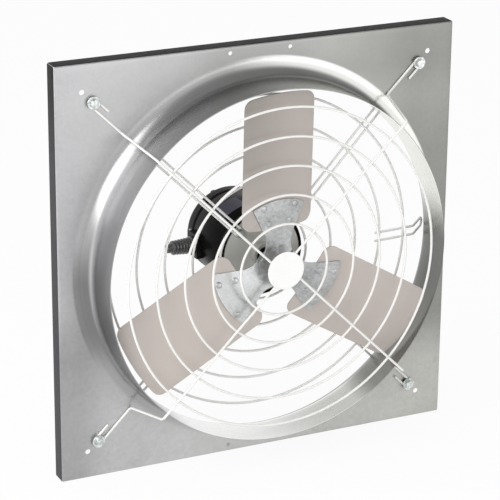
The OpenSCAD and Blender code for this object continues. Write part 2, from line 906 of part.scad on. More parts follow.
module rotor_core() {
    ring_out_r = rotor_r - 2 * air_gap;
    ring_h = end_ring_len + cast_sink;
    color([0.5, 0.5, 0.52])
        upright() {
            translate([0, 0, core_rear_z])
                tube(rotor_r, shaft_r + fit_clearance, core_len);
            for (z = [core_rear_z - end_ring_len, core_front_z - cast_sink])
                translate([0, 0, z])
                    tube(ring_out_r, ring_out_r - end_ring_w, ring_h);
        }
}

module thrust_collars() {
    rear_collar_z = rear_bearing_z + rear_bearing_len + end_float;
    color([0.7, 0.7, 0.7])
        upright()
            for (z = [front_bearing_z - end_float - collar_ring_t, rear_collar_z])
                translate([0, 0, z])
                    tube(collar_ring_r, shaft_r + fit_clearance, collar_ring_t);
}

module slinger() {
    color([0.05, 0.05, 0.05])
        upright()
            translate([0, 0, front_boss_z + end_float])
                tube(slinger_r, shaft_r + fit_clearance, slinger_t);
}

module hub_boss() {
    color([0.6, 0.6, 0.6])
        upright()
            difference() {
                union() {
                    translate([0, 0, boss_back_z])
                        cylinder(h = boss_len - fit_clearance, r = boss_r);
                    translate([0, 0, boss_back_z])
                        cylinder(h = boss_len + spider_t + spigot_edge, r = spigot_r);
                }
                translate([0, 0, boss_back_z - 1])
                    cylinder(h = boss_len + spider_t + spigot_edge + 2, r = shaft_r + fit_clearance);
                rotate([0, 0, set_screw_angle])
                    translate([0, 0, boss_back_z + set_screw_back])
                        rotate([0, 90, 0])
                            cylinder(h = boss_r + 1, d = set_screw_d + 2 * fit_clearance);
            }
}

module set_screw() {
    color([0.2, 0.2, 0.2])
        upright()
            rotate([0, 0, set_screw_angle])
                translate([shaft_r + fit_clearance, 0, boss_back_z + set_screw_back])
                    rotate([0, 90, 0])
                        cylinder(h = boss_r - shaft_r - 0.5, d = set_screw_d);
}

// Turns a piece drawn along +X in the blade's own plane to one blade's place and pitch
module at_blade(k) {
    rotate([0, 0, blade_phase + 360 / blade_count * (k - 1)])
        translate([0, 0, blade_height])
            rotate([blade_pitch, 0, 0])
                children();
}

// Curved sheet across the blade's width, from one height to another over its middle
module cambered_sheet(low, high, length) {
    rotate([0, 90, 0])
        translate([camber_r, 0, 0])
            difference() {
                cylinder(h = length, r = camber_r + high, $fn = 360);
                translate([0, 0, -1])
                    cylinder(h = length + 2, r = camber_r + low, $fn = 360);
            }
}

// Rounded rectangle from the root out to the tip circle
function blade_outline() =
    let (
        root_y = blade_half_w - root_corner_r,
        root_x = blade_root_r + root_corner_r,
        tip_y = blade_half_w - tip_corner_r,
        tip_x = sqrt(pow(tip_r - tip_corner_r, 2) - pow(tip_y, 2)),
        tip_turn = atan2(tip_y, tip_x)
    )
    concat(
        arc([root_x, -root_y], root_corner_r, 180, 270, bend_steps),
        arc([tip_x, -tip_y], tip_corner_r, -90, -tip_turn, bend_steps),
        arc([0, 0], tip_r, -tip_turn, tip_turn, 12),
        arc([tip_x, tip_y], tip_corner_r, tip_turn, 90, bend_steps),
        arc([root_x, root_y], root_corner_r, 90, 180, bend_steps)
    );

module blade(k) {
    color(blade_paint)
        upright()
            difference() {
                at_blade(k)
                    intersection() {
                        translate([0, 0, -camber_room])
                            linear_extrude(2 * camber_room)
                                polygon(blade_outline());
                        cambered_sheet(-blade_t / 2, blade_t / 2, 2 * tip_r);
                    }
                at_rivets(k)
                    rivet_hole();
            }
}

// One arm of the hub plate: a sector with its corners cut by the waist circles
module arm_outline() {
    gap_half = 180 / blade_count - arm_half_angle;
    waist_x = waist_r / (1 - sin(gap_half));
    waist_cut_r = waist_x * sin(gap_half);
    edge_r = waist_x * cos(gap_half);
    difference() {
        intersection() {
            circle(r = spider_r);
            translate([0, -spider_r])
                square([spider_r, 2 * spider_r]);
        }
        for (side = [-1, 1]) {
            rotate(side * 180 / blade_count)
                translate([waist_x, 0])
                    circle(r = waist_cut_r);
            polygon([
                edge_r * [cos(side * arm_half_angle), sin(side * arm_half_angle)],
                2 * spider_r * [cos(side * arm_half_angle), sin(side * arm_half_angle)],
                2 * spider_r * [cos(side * 90), sin(side * 90)],
                edge_r * [cos(side * 100), sin(side * 100)],
                waist_x * [cos(side * 180 / blade_count), sin(side * 180 / blade_count)]
            ]);
        }
        translate([0, -spider_r])
            square([waist_r / 3, 2 * spider_r]);
    }
}

module hub_spider() {
    low = blade_t / 2 + seat_gap;
    color(galvanised)
        upright()
            difference() {
                union() {
                    for (k = [1 : blade_count])
                        at_blade(k)
                            intersection() {
                                translate([0, 0, -camber_room])
                                    linear_extrude(2 * camber_room)
                                        arm_outline();
                                cambered_sheet(low, low + spider_t, spider_r + 1);
                            }
                    translate([0, 0, spider_z])
                        cylinder(h = spider_t, r = waist_r);
                }
                translate([0, 0, boss_back_z])
                    cylinder(h = 2 * boss_len, r = spigot_r + fit_clearance);
                translate([0, 0, boss_back_z])
                    cylinder(h = boss_len, r = boss_r + 1);
                for (k = [1 : blade_count])
                    at_rivets(k)
                        rivet_hole();
            }
}

module rivet_hole() {
    translate([0, 0, -rivet_reach])
        cylinder(h = 2 * rivet_reach, r = rivet_hole_r, $fn = 32);
}

// Places on one blade where its rivets stand, with z across the sheet there
module at_rivets(k) {
    at_blade(k)
        for (spot = [[inner_rivet_r, inner_rivet_off], [outer_rivet_r, outer_rivet_off]], side = [-1, 1])
            translate([spot.x, 0, -camber_r])
                rotate([-side * asin(spot.y / camber_r), 0, 0])
                    translate([0, 0, camber_r])
                        children();
}

module blade_rivets() {
    back = -blade_t / 2 - rivet_gap;
    front = blade_t / 2 + seat_gap + spider_t + rivet_gap;
    color([0.8, 0.8, 0.8])
        upright()
            for (k = [1 : blade_count])
                at_rivets(k) {
                    translate([0, 0, back - rivet_head_h])
                        cylinder(h = front - back + 2 * rivet_head_h, d = rivet_d, $fn = 32);
                    translate([0, 0, front])
                        cylinder(h = rivet_head_h, d1 = rivet_head_d, d2 = rivet_head_d / 2 + 1, $fn = 32);
                    translate([0, 0, back - rivet_head_h])
                        cylinder(h = rivet_head_h, d1 = rivet_head_d / 2 + 1, d2 = rivet_head_d, $fn = 32);
                }
}

venturi_panel();
guard_bolts();
front_washers();
rear_washers();
guard_nuts();
front_ring(1);  // front_ring_1
front_ring(2);  // front_ring_2
front_ring(3);  // front_ring_3
front_ring(4);  // front_ring_4
front_ring(5);  // front_ring_5
front_spoke(1);  // front_spoke_1
front_spoke(2);  // front_spoke_2
front_spoke(3);  // front_spoke_3
front_spoke(4);  // front_spoke_4
front_disc();
rear_ring(1);  // rear_ring_1
rear_ring(2);  // rear_ring_2
rear_ring(3);  // rear_ring_3
rear_ring(4);  // rear_ring_4
rear_ring(5);  // rear_ring_5
motor_arm(1);  // motor_arm_1
motor_arm(2);  // motor_arm_2
motor_arm(3);  // motor_arm_3
motor_arm(4);  // motor_arm_4
side_loop();
motor_shell();
front_end_bell();
rear_end_bell();
rear_bell_screws();
mounting_studs();
stud_washers();
stud_nuts();
stator_core();
windings();
front_bearing();
rear_bearing();
terminal_box();
terminal_lid();
lid_screws();
cable_boot();
rating_plate();
motor_shaft();
rotor_core();
thrust_collars();
slinger();
hub_boss();
hub_spider();
set_screw();
blade(1);  // blade_1
blade(2);  // blade_2
blade(3);  // blade_3
blade_rivets();
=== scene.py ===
"""Panel exhaust fan: a galvanised panel with a forward collar, two white wire guards, a black motor
on wire arms and a three-blade propeller. Metres, front towards -Y, Z up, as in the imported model."""
from math import cos, pi, radians, sin, tan

import bmesh
import bpy
from mathutils import Matrix, Vector


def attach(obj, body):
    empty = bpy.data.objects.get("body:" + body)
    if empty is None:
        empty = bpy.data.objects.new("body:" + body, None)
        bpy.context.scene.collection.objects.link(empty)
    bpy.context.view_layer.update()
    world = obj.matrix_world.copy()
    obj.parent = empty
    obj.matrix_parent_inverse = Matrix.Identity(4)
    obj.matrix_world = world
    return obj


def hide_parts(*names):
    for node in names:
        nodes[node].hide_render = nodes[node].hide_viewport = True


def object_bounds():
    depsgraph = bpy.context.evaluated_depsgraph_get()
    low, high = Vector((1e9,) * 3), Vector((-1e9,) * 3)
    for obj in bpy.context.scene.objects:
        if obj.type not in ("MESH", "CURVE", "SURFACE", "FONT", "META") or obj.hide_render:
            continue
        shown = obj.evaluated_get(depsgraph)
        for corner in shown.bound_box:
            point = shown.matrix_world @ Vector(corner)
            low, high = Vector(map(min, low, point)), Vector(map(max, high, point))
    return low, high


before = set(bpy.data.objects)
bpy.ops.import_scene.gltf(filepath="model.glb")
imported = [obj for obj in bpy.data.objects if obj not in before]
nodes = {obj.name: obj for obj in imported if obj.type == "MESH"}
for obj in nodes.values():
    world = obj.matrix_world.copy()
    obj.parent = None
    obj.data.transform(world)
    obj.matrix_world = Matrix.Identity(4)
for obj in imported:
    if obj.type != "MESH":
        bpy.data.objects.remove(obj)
cad_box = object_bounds()


# Camera: a long lens, left of the fan and above its axis, as in the photograph.
# Its place and turn were fitted to the panel's corners, holes and bolts.
def placed(name, data):
    """A new object in the scene."""
    made = bpy.data.objects.new(name, data)
    bpy.context.scene.collection.objects.link(made)
    return made


camera_place = Vector((-1.2376, -2.583, 1.0585))
camera_ahead = Vector((0.402, 0.8475, -0.3465)).normalized()
camera_up = Vector((0.1404, 0.3169, 0.938))

lens = bpy.data.cameras.new("camera")
lens.sensor_width = 36
lens.lens = 168.6
camera = placed("camera", lens)
camera_right = camera_ahead.cross(camera_up).normalized()
turn = Matrix((camera_right, camera_right.cross(camera_ahead), -camera_ahead)).transposed()
camera.matrix_world = Matrix.Translation(camera_place) @ turn.to_4x4()
bpy.context.scene.camera = camera
bpy.context.scene.view_settings.view_transform = "Standard"


# Studio: a white floor under the panel's bottom edge, a white surround and two soft lamps.
# Camera, glossy and transmitted rays see the surround at full white up to a grey ceiling, and other
# rays a softer one.
class Tree:
    """A node tree that is written as expressions."""

    def __init__(self, tree, prefix="ShaderNode"):
        self.tree, self.prefix = tree, prefix

    def node(self, kind, settings=None, sockets=None, out=0):
        """Adds a node: its settings first, then the values or links of its sockets."""
        made = self.tree.nodes.new(kind if "Node" in kind else self.prefix + kind)
        for name, value in (settings or {}).items():
            setattr(made, name, value)
        for name, value in (sockets or {}).items():
            if isinstance(value, Link):
                self.tree.links.new(value.socket, made.inputs[name])
            else:
                made.inputs[name].default_value = value
        return Link(self, made.outputs[out]) if made.outputs else made


class Link:
    """One output of a node. Sums, products and powers of it add Math nodes."""

    def __init__(self, tree, socket):
        self.tree, self.socket = tree, socket

    def maths(self, operation, *others):
        sockets = dict(enumerate([self, *others]))
        return self.tree.node("ShaderNodeMath", {"operation": operation}, sockets)

    def __add__(self, other):
        return self.maths("ADD", other)

    def __mul__(self, other):
        return self.maths("MULTIPLY", other)

    def __sub__(self, other):
        return self.maths("SUBTRACT", other)

    def __rsub__(self, other):
        return (self * -1) + other

    def __pow__(self, other):
        return self.maths("POWER", other)

    __radd__ = __add__
    __rmul__ = __mul__

    def abs(self):
        return self.maths("ABSOLUTE")

    def most(self, other):
        return self.maths("MAXIMUM", other)

    def over(self, low, high):
        """0 at low and 1 at high, smooth between them."""
        return self.tree.node("MapRange", {"interpolation_type": "SMOOTHSTEP"},
                              {"Value": self, "From Min": low, "From Max": high})

    def other(self, name):
        """Another output of the same node."""
        return Link(self.tree, self.socket.node.outputs[name])


def seen_white(tree):
    """1 for camera, glossy and transmitted rays, 0 for the rest."""
    path = tree.node("LightPath", out="Is Camera Ray")
    return path.most(path.other("Is Glossy Ray")).most(path.other("Is Transmission Ray"))


world = bpy.data.worlds.new("studio")
bpy.context.scene.world = world
world.use_nodes = True
world.node_tree.nodes.clear()
sky = Tree(world.node_tree)
height = sky.node("SeparateXYZ", sockets={0: sky.node("TexCoord", out="Generated")}, out="Z")
ceiling = height.over(0.35, 0.75)
soft_white = sky.node("Background", sockets={"Color": (0.97, 0.98, 1, 1), "Strength": 0.7})
full_white = sky.node("Background", sockets={"Color": (1, 1, 1, 1), "Strength": 1 - ceiling * 0.6})
surround = sky.node("MixShader", sockets={0: seen_white(sky), 1: soft_white, 2: full_white})
sky.node("OutputWorld", sockets={"Surface": surround})

floor_z = cad_box[0].z
floor_reach = 6
floor_corners = [(u * floor_reach, v * floor_reach, floor_z)
                 for u, v in ((-1, -1), (1, -1), (1, 1), (-1, 1))]
floor_mesh = bpy.data.meshes.new("floor")
floor_mesh.from_pydata(floor_corners, [], [(0, 1, 2, 3)])
floor = placed("floor", floor_mesh)

# The floor glows white, and the share of it that stays matt keeps the fan's shadow
glow_share = 0.92
floor_paint = bpy.data.materials.new("floor")
floor_paint.use_nodes = True
floor_paint.node_tree.nodes.clear()
ground = Tree(floor_paint.node_tree)
matt = ground.node("BsdfDiffuse", sockets={"Color": (0.92, 0.92, 0.92, 1)})
glow = ground.node("Emission", sockets={"Color": (1, 1, 1, 1), "Strength": 1.0})
white_floor = ground.node("MixShader", sockets={0: seen_white(ground) * glow_share, 1: matt, 2: glow})
ground.node("OutputMaterial", sockets={"Surface": white_floor})
floor_mesh.materials.append(floor_paint)


def lamp(name, place, size, power):
    """A soft lamp that shines at the fan's middle."""
    light = bpy.data.lights.new(name, "AREA")
    light.shape = "RECTANGLE"
    light.size, light.size_y = size
    light.energy = power
    lit = placed(name, light)
    facing = (-Vector(place)).to_track_quat("-Z", "Y").to_matrix().to_4x4()
    lit.matrix_world = Matrix.Translation(place) @ facing
    lit.visible_camera = False


lamp("left_softbox", place=(-1.94, -0.9, 1.09), size=(2.6, 1.5), power=40)
lamp("right_strip", place=(0.95, -2.25, 0.06), size=(1.5, 0.4), power=6)


# Panel: one sheet of galvanised steel, pressed into a square tray, with a collar spun forward out
# of its middle. The flat face keeps its fine spangle, with painted shade at both sides. The collar is
# smoother, painted darker for its darker reflections and with painted reflections on parts of it, and the
# flange edges carry painted shade.
mm = 0.001

# Puts a shape that was made round +Z, in mm, on the fan, where +Z is forward
upright = Matrix(((mm, 0, 0, 0), (0, 0, -mm, 0), (0, mm, 0, 0), (0, 0, 0, 1)))


def skinned(rows, closed=False, place=upright):
    """A mesh over rows of points that each go once round: poles merged, faces outwards."""
    skin = bmesh.new()
    grid = [[skin.verts.new(point) for point in row] for row in rows]
    for low, high in zip(grid, grid[1:] + (grid[:1] if closed else [])):
        for j in range(len(low)):
            k = (j + 1) % len(low)
            skin.faces.new((low[j], low[k], high[k], high[j]))
    bmesh.ops.remove_doubles(skin, verts=skin.verts, dist=1e-4)
    bmesh.ops.transform(skin, matrix=place, verts=skin.verts)
    bmesh.ops.recalc_face_normals(skin, faces=skin.faces)
    mesh = bpy.data.meshes.new("skin")
    skin.to_mesh(mesh)
    skin.free()
    return mesh


def arc(centre, radius, start, end, steps=6):
    """Points on an arc of a profile, from start to end in degrees."""
    angles = [radians(start + (end - start) * k / steps) for k in range(steps + 1)]
    return [(centre[0] + radius * cos(a), centre[1] + radius * sin(a)) for a in angles]


def evaluated(block):
    """The plain mesh of an object with its modifiers applied."""
    return bpy.data.meshes.new_from_object(block.evaluated_get(bpy.context.evaluated_depsgraph_get()))


def piece(name, mesh, material, body, sharp, replaced=()):
    """A finished piece, smooth but for edges past the sharp angle, in place of the CAD nodes named."""
    mesh.materials.clear()
    mesh.materials.append(material)
    mesh.shade_smooth()
    mesh.set_sharp_from_angle(angle=radians(sharp))
    made = placed(name, mesh)
    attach(made, body)
    if replaced:
        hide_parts(*replaced)


def finish(name):
    """A new material: its tree, its object coordinates, and the function that makes its shader."""
    made = bpy.data.materials.new(name)
    made.use_nodes = True
    made.node_tree.nodes.clear()
    tree = Tree(made.node_tree)

    def shader(sockets):
        surface = tree.node("BsdfPrincipled", sockets=sockets)
        tree.node("OutputMaterial", sockets={"Surface": surface})
        return made

    return tree, tree.node("TexCoord", out="Object"), shader


def noise(tree, place, scale, detail=2, rough=0.5):
    sockets = {"Vector": place, "Scale": scale, "Detail": detail, "Roughness": rough}
    return tree.node("TexNoise", sockets=sockets)


def axes(tree, place):
    """The three object coordinates."""
    x = tree.node("SeparateXYZ", sockets={0: place}, out="X")
    return x, x.other("Y"), x.other("Z")


def off_axis(x, z):
    """The distance from the fan's axis."""
    return (x * x + z * z) ** 0.5


def stretched(tree, *parts):
    """A place for a pattern, from numbers that each have their own scale."""
    return tree.node("CombineXYZ", sockets=dict(enumerate(parts)))


def blend(tree, share, low, high):
    """From one number to another."""
    return tree.node("Mix", {"data_type": "FLOAT"}, {"Factor": share, 2: low, 3: high})


def blend_colour(tree, share, low, high):
    """From one colour to another. Each is three numbers or a link."""
    low, high = [c if isinstance(c, Link) else (*c, 1) for c in (low, high)]
    return tree.node("Mix", {"data_type": "RGBA"}, {"Factor": share, 6: low, 7: high}, out=2)


def bumped(tree, height, strength, distance):
    return tree.node("Bump", sockets={"Height": height, "Strength": strength, "Distance": distance})


panel_half = 279.4
sheet = 1.2
flange_depth = 22
edge_bend_r = 2.6
collar_r = 237.4
collar_depth = 71
collar_fillet = 22.4
fillet_r = collar_r + collar_fillet
edge_ease = 0.3
wall_levels = (collar_depth, collar_depth - 0.4, 66, 58, 50, 42, 34, 28)
bolt_half, bolt_hole_r = 228.6, 3.3
wall_hole_half, wall_hole_r = 242.5, 3.6
edge_hole_half, edge_hole_out, edge_hole_r = 42, 270.2, 2.8


def panel_rows(thick):
    """One side of the sheet, from the collar's lip to the flange's back edge."""
    side_steps, corner_steps, fillet_steps = 40, 6, 18
    columns = []
    for side in range(4):
        base = side * pi / 2
        for k in range(side_steps):
            columns.append((base - pi / 4 + pi / 2 * (k + 0.5) / side_steps, base))
        for k in range(corner_steps + 1):
            columns.append((base + pi / 4, base + pi / 2 * k / corner_steps))
    flat_half = panel_half - edge_bend_r
    bend = edge_bend_r - thick

    def ring(r, z):
        return [(r * cos(a), r * sin(a), z) for a, _ in columns]

    def square(share, out, z):
        row = []
        for a, n in columns:
            reach = flat_half / max(abs(cos(a)), abs(sin(a)))
            r = fillet_r + (reach - fillet_r) * share
            row.append((r * cos(a) + out * cos(n), r * sin(a) + out * sin(n), z))
        return row

    rows = [ring(collar_r - thick, z) for z in wall_levels]
    fillet = arc((fillet_r, collar_fillet), collar_fillet + thick, 180, 270, fillet_steps)
    rows += [ring(r, z) for r, z in fillet]
    rows += [square(share, 0, -thick) for share in (0.08, 0.3, 0.6, 0.9, 1)]
    rows += [square(1, out, z) for out, z in arc((0, -edge_bend_r), bend, 90, 0)[1:]]
    return rows + [square(1, bend, -flange_depth + edge_ease)]


outside = panel_rows(0)
inside = panel_rows(sheet)
lip = [[(x * share, y * share, collar_depth) for x, y, _ in outside[0]]
       for share in (1 - edge_ease / collar_r, 1 - (sheet - edge_ease) / collar_r)]
flange_mid = [[((a[0] + b[0]) / 2, (a[1] + b[1]) / 2, -flange_depth)
               for a, b in zip(outside[-1], inside[-1])]]
panel_mesh = skinned(outside + flange_mid + inside[::-1] + lip[::-1], closed=True)


def four_pegs(half_u, half_v, radius, low=-3, high=2):
    """Cutters for four round holes through the sheet, as one mesh."""
    skin = bmesh.new()
    for u in (-half_u, half_u):
        for v in (-half_v, half_v):
            middle = Matrix.Translation((u, v, (low + high) / 2))
            bmesh.ops.create_cone(skin, cap_ends=True, segments=32, radius1=radius, radius2=radius,
                                  depth=high - low, matrix=middle)
    bmesh.ops.transform(skin, matrix=upright, verts=skin.verts)
    mesh = bpy.data.meshes.new("pegs")
    skin.to_mesh(mesh)
    skin.free()
    return mesh


def pierced(mesh, cutters):
    """The mesh with the cutters' holes in it."""
    block = placed("block", mesh)
    helpers = [block]
    for cutter in cutters:
        peg = placed("peg", cutter)
        helpers.append(peg)
        cut = block.modifiers.new("cut", "BOOLEAN")
        cut.operation, cut.solver, cut.object = "DIFFERENCE", "EXACT", peg
    result = evaluated(block)
    for helper in helpers:
        bpy.data.objects.remove(helper)
    return result


panel_mesh = pierced(panel_mesh, [four_pegs(wall_hole_half, wall_hole_half, wall_hole_r),
                                  four_pegs(bolt_half, bolt_half, bolt_hole_r),
                                  four_pegs(edge_hole_half, edge_hole_out, edge_hole_r)])

tree, place, shader = finish("galvanised_sheet")
x, y, z = axes(tree, place)
r = off_axis(x, z)
spangle = tree.node("TexVoronoi", sockets={"Vector": place, "Scale": 210}, out="Color")
flake = tree.node("SeparateColor", sockets={0: spangle}, out=0)
grain = noise(tree, place, 760, 3, 0.75)
cloud = noise(tree, place, 7, 3)
spun = noise(tree, stretched(tree, r * 420, y * 420, x.maths("ARCTAN2", z) * 2.2), 1, 2)
waves = noise(tree, place, 11, 1)
on_collar = r.over(0.2605, 0.250)
inner_wall = r.over(0.2371, 0.2365)
edge_reach = x.abs().most(z.abs())
on_edge = edge_reach.over(panel_half * mm - 0.0008, panel_half * mm - 0.0003)

# Painted shade darkens the flat face at the right, at the lower left and along the right half of the top
painted_shade_right = x.over(0.10, 0.24) * z.over(-0.20, -0.12) * (1 - z.over(0.08, 0.24) * 0.5)
painted_shade_left = x.over(-0.2, -0.26) * z.over(-0.02, -0.12)
painted_shade_top = z.over(0.17, 0.24) * x.over(-0.2, 0)
# The face is painted lighter towards the left, as painted light
face_tone = 0.27 + flake * 0.05 + grain * 0.13 + cloud * 0.21 + x.over(0.3, -0.1) * 0.05
face_tone = face_tone * (1 - painted_shade_right * 0.42) * (1 - painted_shade_left * 0.28) * (1 - painted_shade_top * 0.2)

# Painted shade darkens the collar at the right and at its foot on the left, and a painted highlight brightens
# the band of wall next to that foot
# The collar's base is darker than the face's to paint its darker reflections, and lighter towards the left as
# painted light
collar_tone = 0.22 + spun * 0.07 + cloud * 0.16 + x.over(0.15, -0.05) * 0.05
collar_tone = collar_tone * (1 - x.over(0.06, 0.2) * z.over(-0.2, -0.05) * 0.45)
painted_shade_foot = x.over(-0.15, -0.23) * z.over(-0.15, -0.07) * z.over(0.06, -0.01) * r.over(0.2615, 0.2575)
painted_shade_foot = painted_shade_foot * r.over(0.239, 0.2425)
painted_highlight_wall = r.over(0.243, 0.2395) * y.over(-0.05, -0.022) * x.over(-0.08, -0.18)
painted_highlight_wall = painted_highlight_wall * z.over(-0.24, -0.14) * z.over(0.12, 0.02)
tone = blend(tree, on_collar, face_tone, collar_tone)
tone = tone * (1 - painted_shade_foot * 0.42) * (1 + painted_highlight_wall * 0.6)

# Painted reflections brighten the collar's bend at the upper right, and its inner wall there and at the
# bottom
painted_highlight_bend = r.over(0.2635, 0.2605) * r.over(0.2445, 0.2500) * x.over(-0.06, 0.05) * z.over(0.03, 0.12)
upper_right = z.over(0.0, 0.08) * x.over(0.05, 0.12)
bottom = z.over(-0.16, -0.21) * x.over(0.15, 0.11)
painted_reflection = painted_highlight_bend * 0.85 + inner_wall * (upper_right + bottom) * 0.9
tone = tone * (1 - painted_reflection) + painted_reflection * 0.95

# The sheet is a little bluer towards the left, and the flange edges are painted dark as painted shade,
# darkest along the top
sheet_colour = tree.node("CombineColor", sockets={0: tone, 1: tone, 2: tone * (0.98 - x * 0.14)})
edge_share = z.over(0.281, 0.12) * (cloud * 0.5 + 0.75)
painted_edge_shade = blend_colour(tree, edge_share, (0.008, 0.008, 0.007), (0.055, 0.055, 0.06))
face_rough = 0.40 + flake * 0.07 + grain * 0.09
collar_rough = 0.22 + cloud * 0.06 + spun * 0.03
relief = (grain * 0.5 + flake * 0.3) * (1 - on_collar) + waves * 6 * on_collar
galvanised = shader({
    "Base Color": blend_colour(tree, on_edge, sheet_colour, painted_edge_shade),
    "Metallic": 1 - on_edge * 0.4,
    "Roughness": blend(tree, on_collar, face_rough, collar_rough) + on_edge * 0.1,
    "Normal": bumped(tree, relief, 0.3, 0.0002)})
piece("panel_pressing", panel_mesh, galvanised, "frame", 30, ["venturi_panel"])


# Guard bolts: zinc plated hex bolts with large washers, which clamp the hooks of the front guard and
# the arms of the rear guard to the panel's corners.
def lathed(profile, sides=48, closed=False, place=upright):
    """A (radius, height) profile in mm, turned round its axis."""
    turns = [2 * pi * j / sides for j in range(sides)]
    rows = [[(r * cos(a), r * sin(a), h) for a in turns] for r, h in profile]
    return skinned(rows, closed, place)


def hexed(flats, low, high, bore=0.0, both=False):
    """A hexagon with its corners turned off at the top, or at both ends, and an optional bore."""
    sides, slope = 48, 0.6
    crown = flats / 2 * 0.97
    turns = [2 * pi * j / sides for j in range(sides)]

    def circle(radius, height):
        return [(radius * cos(a), radius * sin(a), height) for a in turns]

    def hexagon(height, way):
        row = []
        for a in turns:
            reach = flats / 2 / cos((a % (pi / 3)) - pi / 6)
            row.append((reach * cos(a), reach * sin(a), height + way * (reach - crown) * slope))
        return row

    rows = [circle(bore, low)]
    rows += [circle(crown, low), hexagon(low, 1)] if both else [hexagon(low, 0)]
    rows += [hexagon(high, -1), circle(crown, high), circle(bore, high)]
    return skinned(rows, bore > 0, Matrix())


def threaded(radius, top, end):
    """The profile of a threaded rod from top down to its chamfered end."""
    pitch, groove, chamfer = 1.0, 0.35, 0.8
    points = []
    h = top
    while h > end + pitch:
        points += [(radius, h), (radius - groove, h - pitch / 2)]
        h -= pitch
    return points + [(radius - 0.1, h), (radius - chamfer, end), (0, end)]


def joined(*meshes):
    """Several meshes as one."""
    skin = bmesh.new()
    for mesh in meshes:
        skin.from_mesh(mesh)
    together = bpy.data.meshes.new("joined")
    skin.to_mesh(together)
    skin.free()
    return together


def new_tree(name, inputs):
    """A geometry tree with inputs for a mesh, named sizes and a material: the tree and its inputs."""
    group = bpy.data.node_groups.new(name, "GeometryNodeTree")
    for label, kind in [("Geometry", "Geometry"), *inputs, ("Material", "Material")]:
        group.interface.new_socket(label, in_out="INPUT", socket_type="NodeSocket" + kind)
    group.interface.new_socket("Geometry", in_out="OUTPUT", socket_type="NodeSocketGeometry")
    tree = Tree(group, "GeometryNode")
    return tree, tree.node("NodeGroupInput")


def ended(tree, geometry, given):
    """Realizes the instances, sets the material and links the output."""
    whole = tree.node("RealizeInstances", sockets={"Geometry": geometry})
    dressed = tree.node("SetMaterial", sockets={"Geometry": whole, "Material": given.other("Material")})
    tree.node("NodeGroupOutput", sockets={"Geometry": dressed})
    return tree.tree


def made_by(group, mesh, **sizes):
    """The plain mesh that a geometry tree makes of a mesh."""
    block = placed("block", mesh)
    change = block.modifiers.new("make", "NODES")
    change.node_group = group
    for item in group.interface.items_tree:
        label = item.name.replace(" ", "_").lower()
        if item.in_out == "INPUT" and label in sizes:
            change[item.identifier] = sizes[label]
    made = evaluated(block)
    bpy.data.objects.remove(block)
    return made


# The tree that repeats one fastener round the fan's axis, each turned with its place
tree, given = new_tree("round_the_axis", [("Count", "Int"), ("Pitch Radius", "Float"),
                                          ("First Angle", "Float")])
circle = tree.node("MeshCircle", sockets={"Vertices": given.other("Count"),
                                          "Radius": given.other("Pitch Radius")})
first = tree.node("ShaderNodeCombineXYZ", sockets={2: given.other("First Angle")})
turned = tree.node("Transform", sockets={"Geometry": circle, "Rotation": first})
outward = tree.node("FunctionNodeAlignRotationToVector", {"axis": "X", "pivot_axis": "Z"},
                    {"Vector": tree.node("InputPosition")})
many = tree.node("InstanceOnPoints", sockets={"Points": turned, "Instance": given, "Rotation": outward})
stood = tree.node("Transform", sockets={"Geometry": many, "Rotation": (pi / 2, 0, 0), "Scale": (mm, mm, mm)})
round_the_axis = ended(tree, stood, given)

tree, place, shader = finish("zinc_plate")
mottle = noise(tree, place, 260, 3)
scuff = noise(tree, place, 1300)
zinc = shader({
    "Base Color": blend_colour(tree, mottle.over(0.3, 0.7), (0.44, 0.47, 0.455), (0.80, 0.83, 0.815)),
    "Metallic": 1.0,
    "Roughness": 0.24 + mottle * 0.16 + scuff * 0.1,
    "Normal": bumped(tree, mottle + scuff * 0.4, 0.25, 0.0002)})

bolt_circle = bolt_half * 2 ** 0.5
wire_d = 3.2
washer_t, washer_r, washer_bore_r = 1.6, 8.5, 3.3
head_flats, head_t = 10, 4.2
head_z = wire_d + washer_t
bolt_r, thread_z, bolt_end_z = 3, -4, -14
back_washer_z = -6
nut_t = 5


def four_bolts(name, mesh, node):
    """The same fastener at each corner of the panel."""
    made = made_by(round_the_axis, mesh, count=4, pitch_radius=bolt_circle, first_angle=pi / 4, material=zinc)
    piece(name, made, zinc, "frame", 30, [node])


def washer(low):
    """A large washer with eased rims, from low up."""
    ease = 0.25
    high = low + washer_t
    profile = [(washer_bore_r, low), (washer_r - ease, low), (washer_r, low + ease),
               (washer_r, high - ease), (washer_r - ease, high), (washer_bore_r, high)]
    return lathed(profile, closed=True, place=Matrix())


head = hexed(head_flats, head_z, head_z + head_t)
shank = [(0, head_z + 1), (bolt_r, head_z + 1), (bolt_r, thread_z)] + threaded(bolt_r, thread_z, bolt_end_z)
four_bolts("hex_bolts", joined(head, lathed(shank, 24, place=Matrix())), "guard_bolts")
four_bolts("large_washers", washer(wire_d), "front_washers")
four_bolts("back_washers", washer(back_washer_z), "rear_washers")
four_bolts("hex_nuts", hexed(head_flats, back_washer_z - nut_t, back_washer_z, bolt_r, True), "guard_nuts")


# Front guard: five rings of white coated steel wire, resistance welded over four spokes that bend
# down to the panel and hook round the bolts, with a pressed white plate at the centre.
def white_enamel(name, thin, full):
    """White dipped enamel, between its thin and its full coat."""
    tree, place, shader = finish(name)
    speck = noise(tree, place, 300)
    pool = noise(tree, place, 45)
    return shader({
        "Base Color": blend_colour(tree, speck * 0.5 + pool * 0.5, thin, full),
        "Roughness": 0.26 + speck * 0.14,
        "Normal": bumped(tree, speck, 0.2, 0.0003)})


# The wires and the centre plate have one real coat: the wires' copy is darker as painted shade, the plate's
# lighter as painted light
shaded_white_coat = white_enamel("white_wire_coat", (0.79, 0.78, 0.75), (0.89, 0.88, 0.85))
lit_white_plate = white_enamel("white_plate_coat", (0.86, 0.86, 0.83), (0.93, 0.93, 0.90))

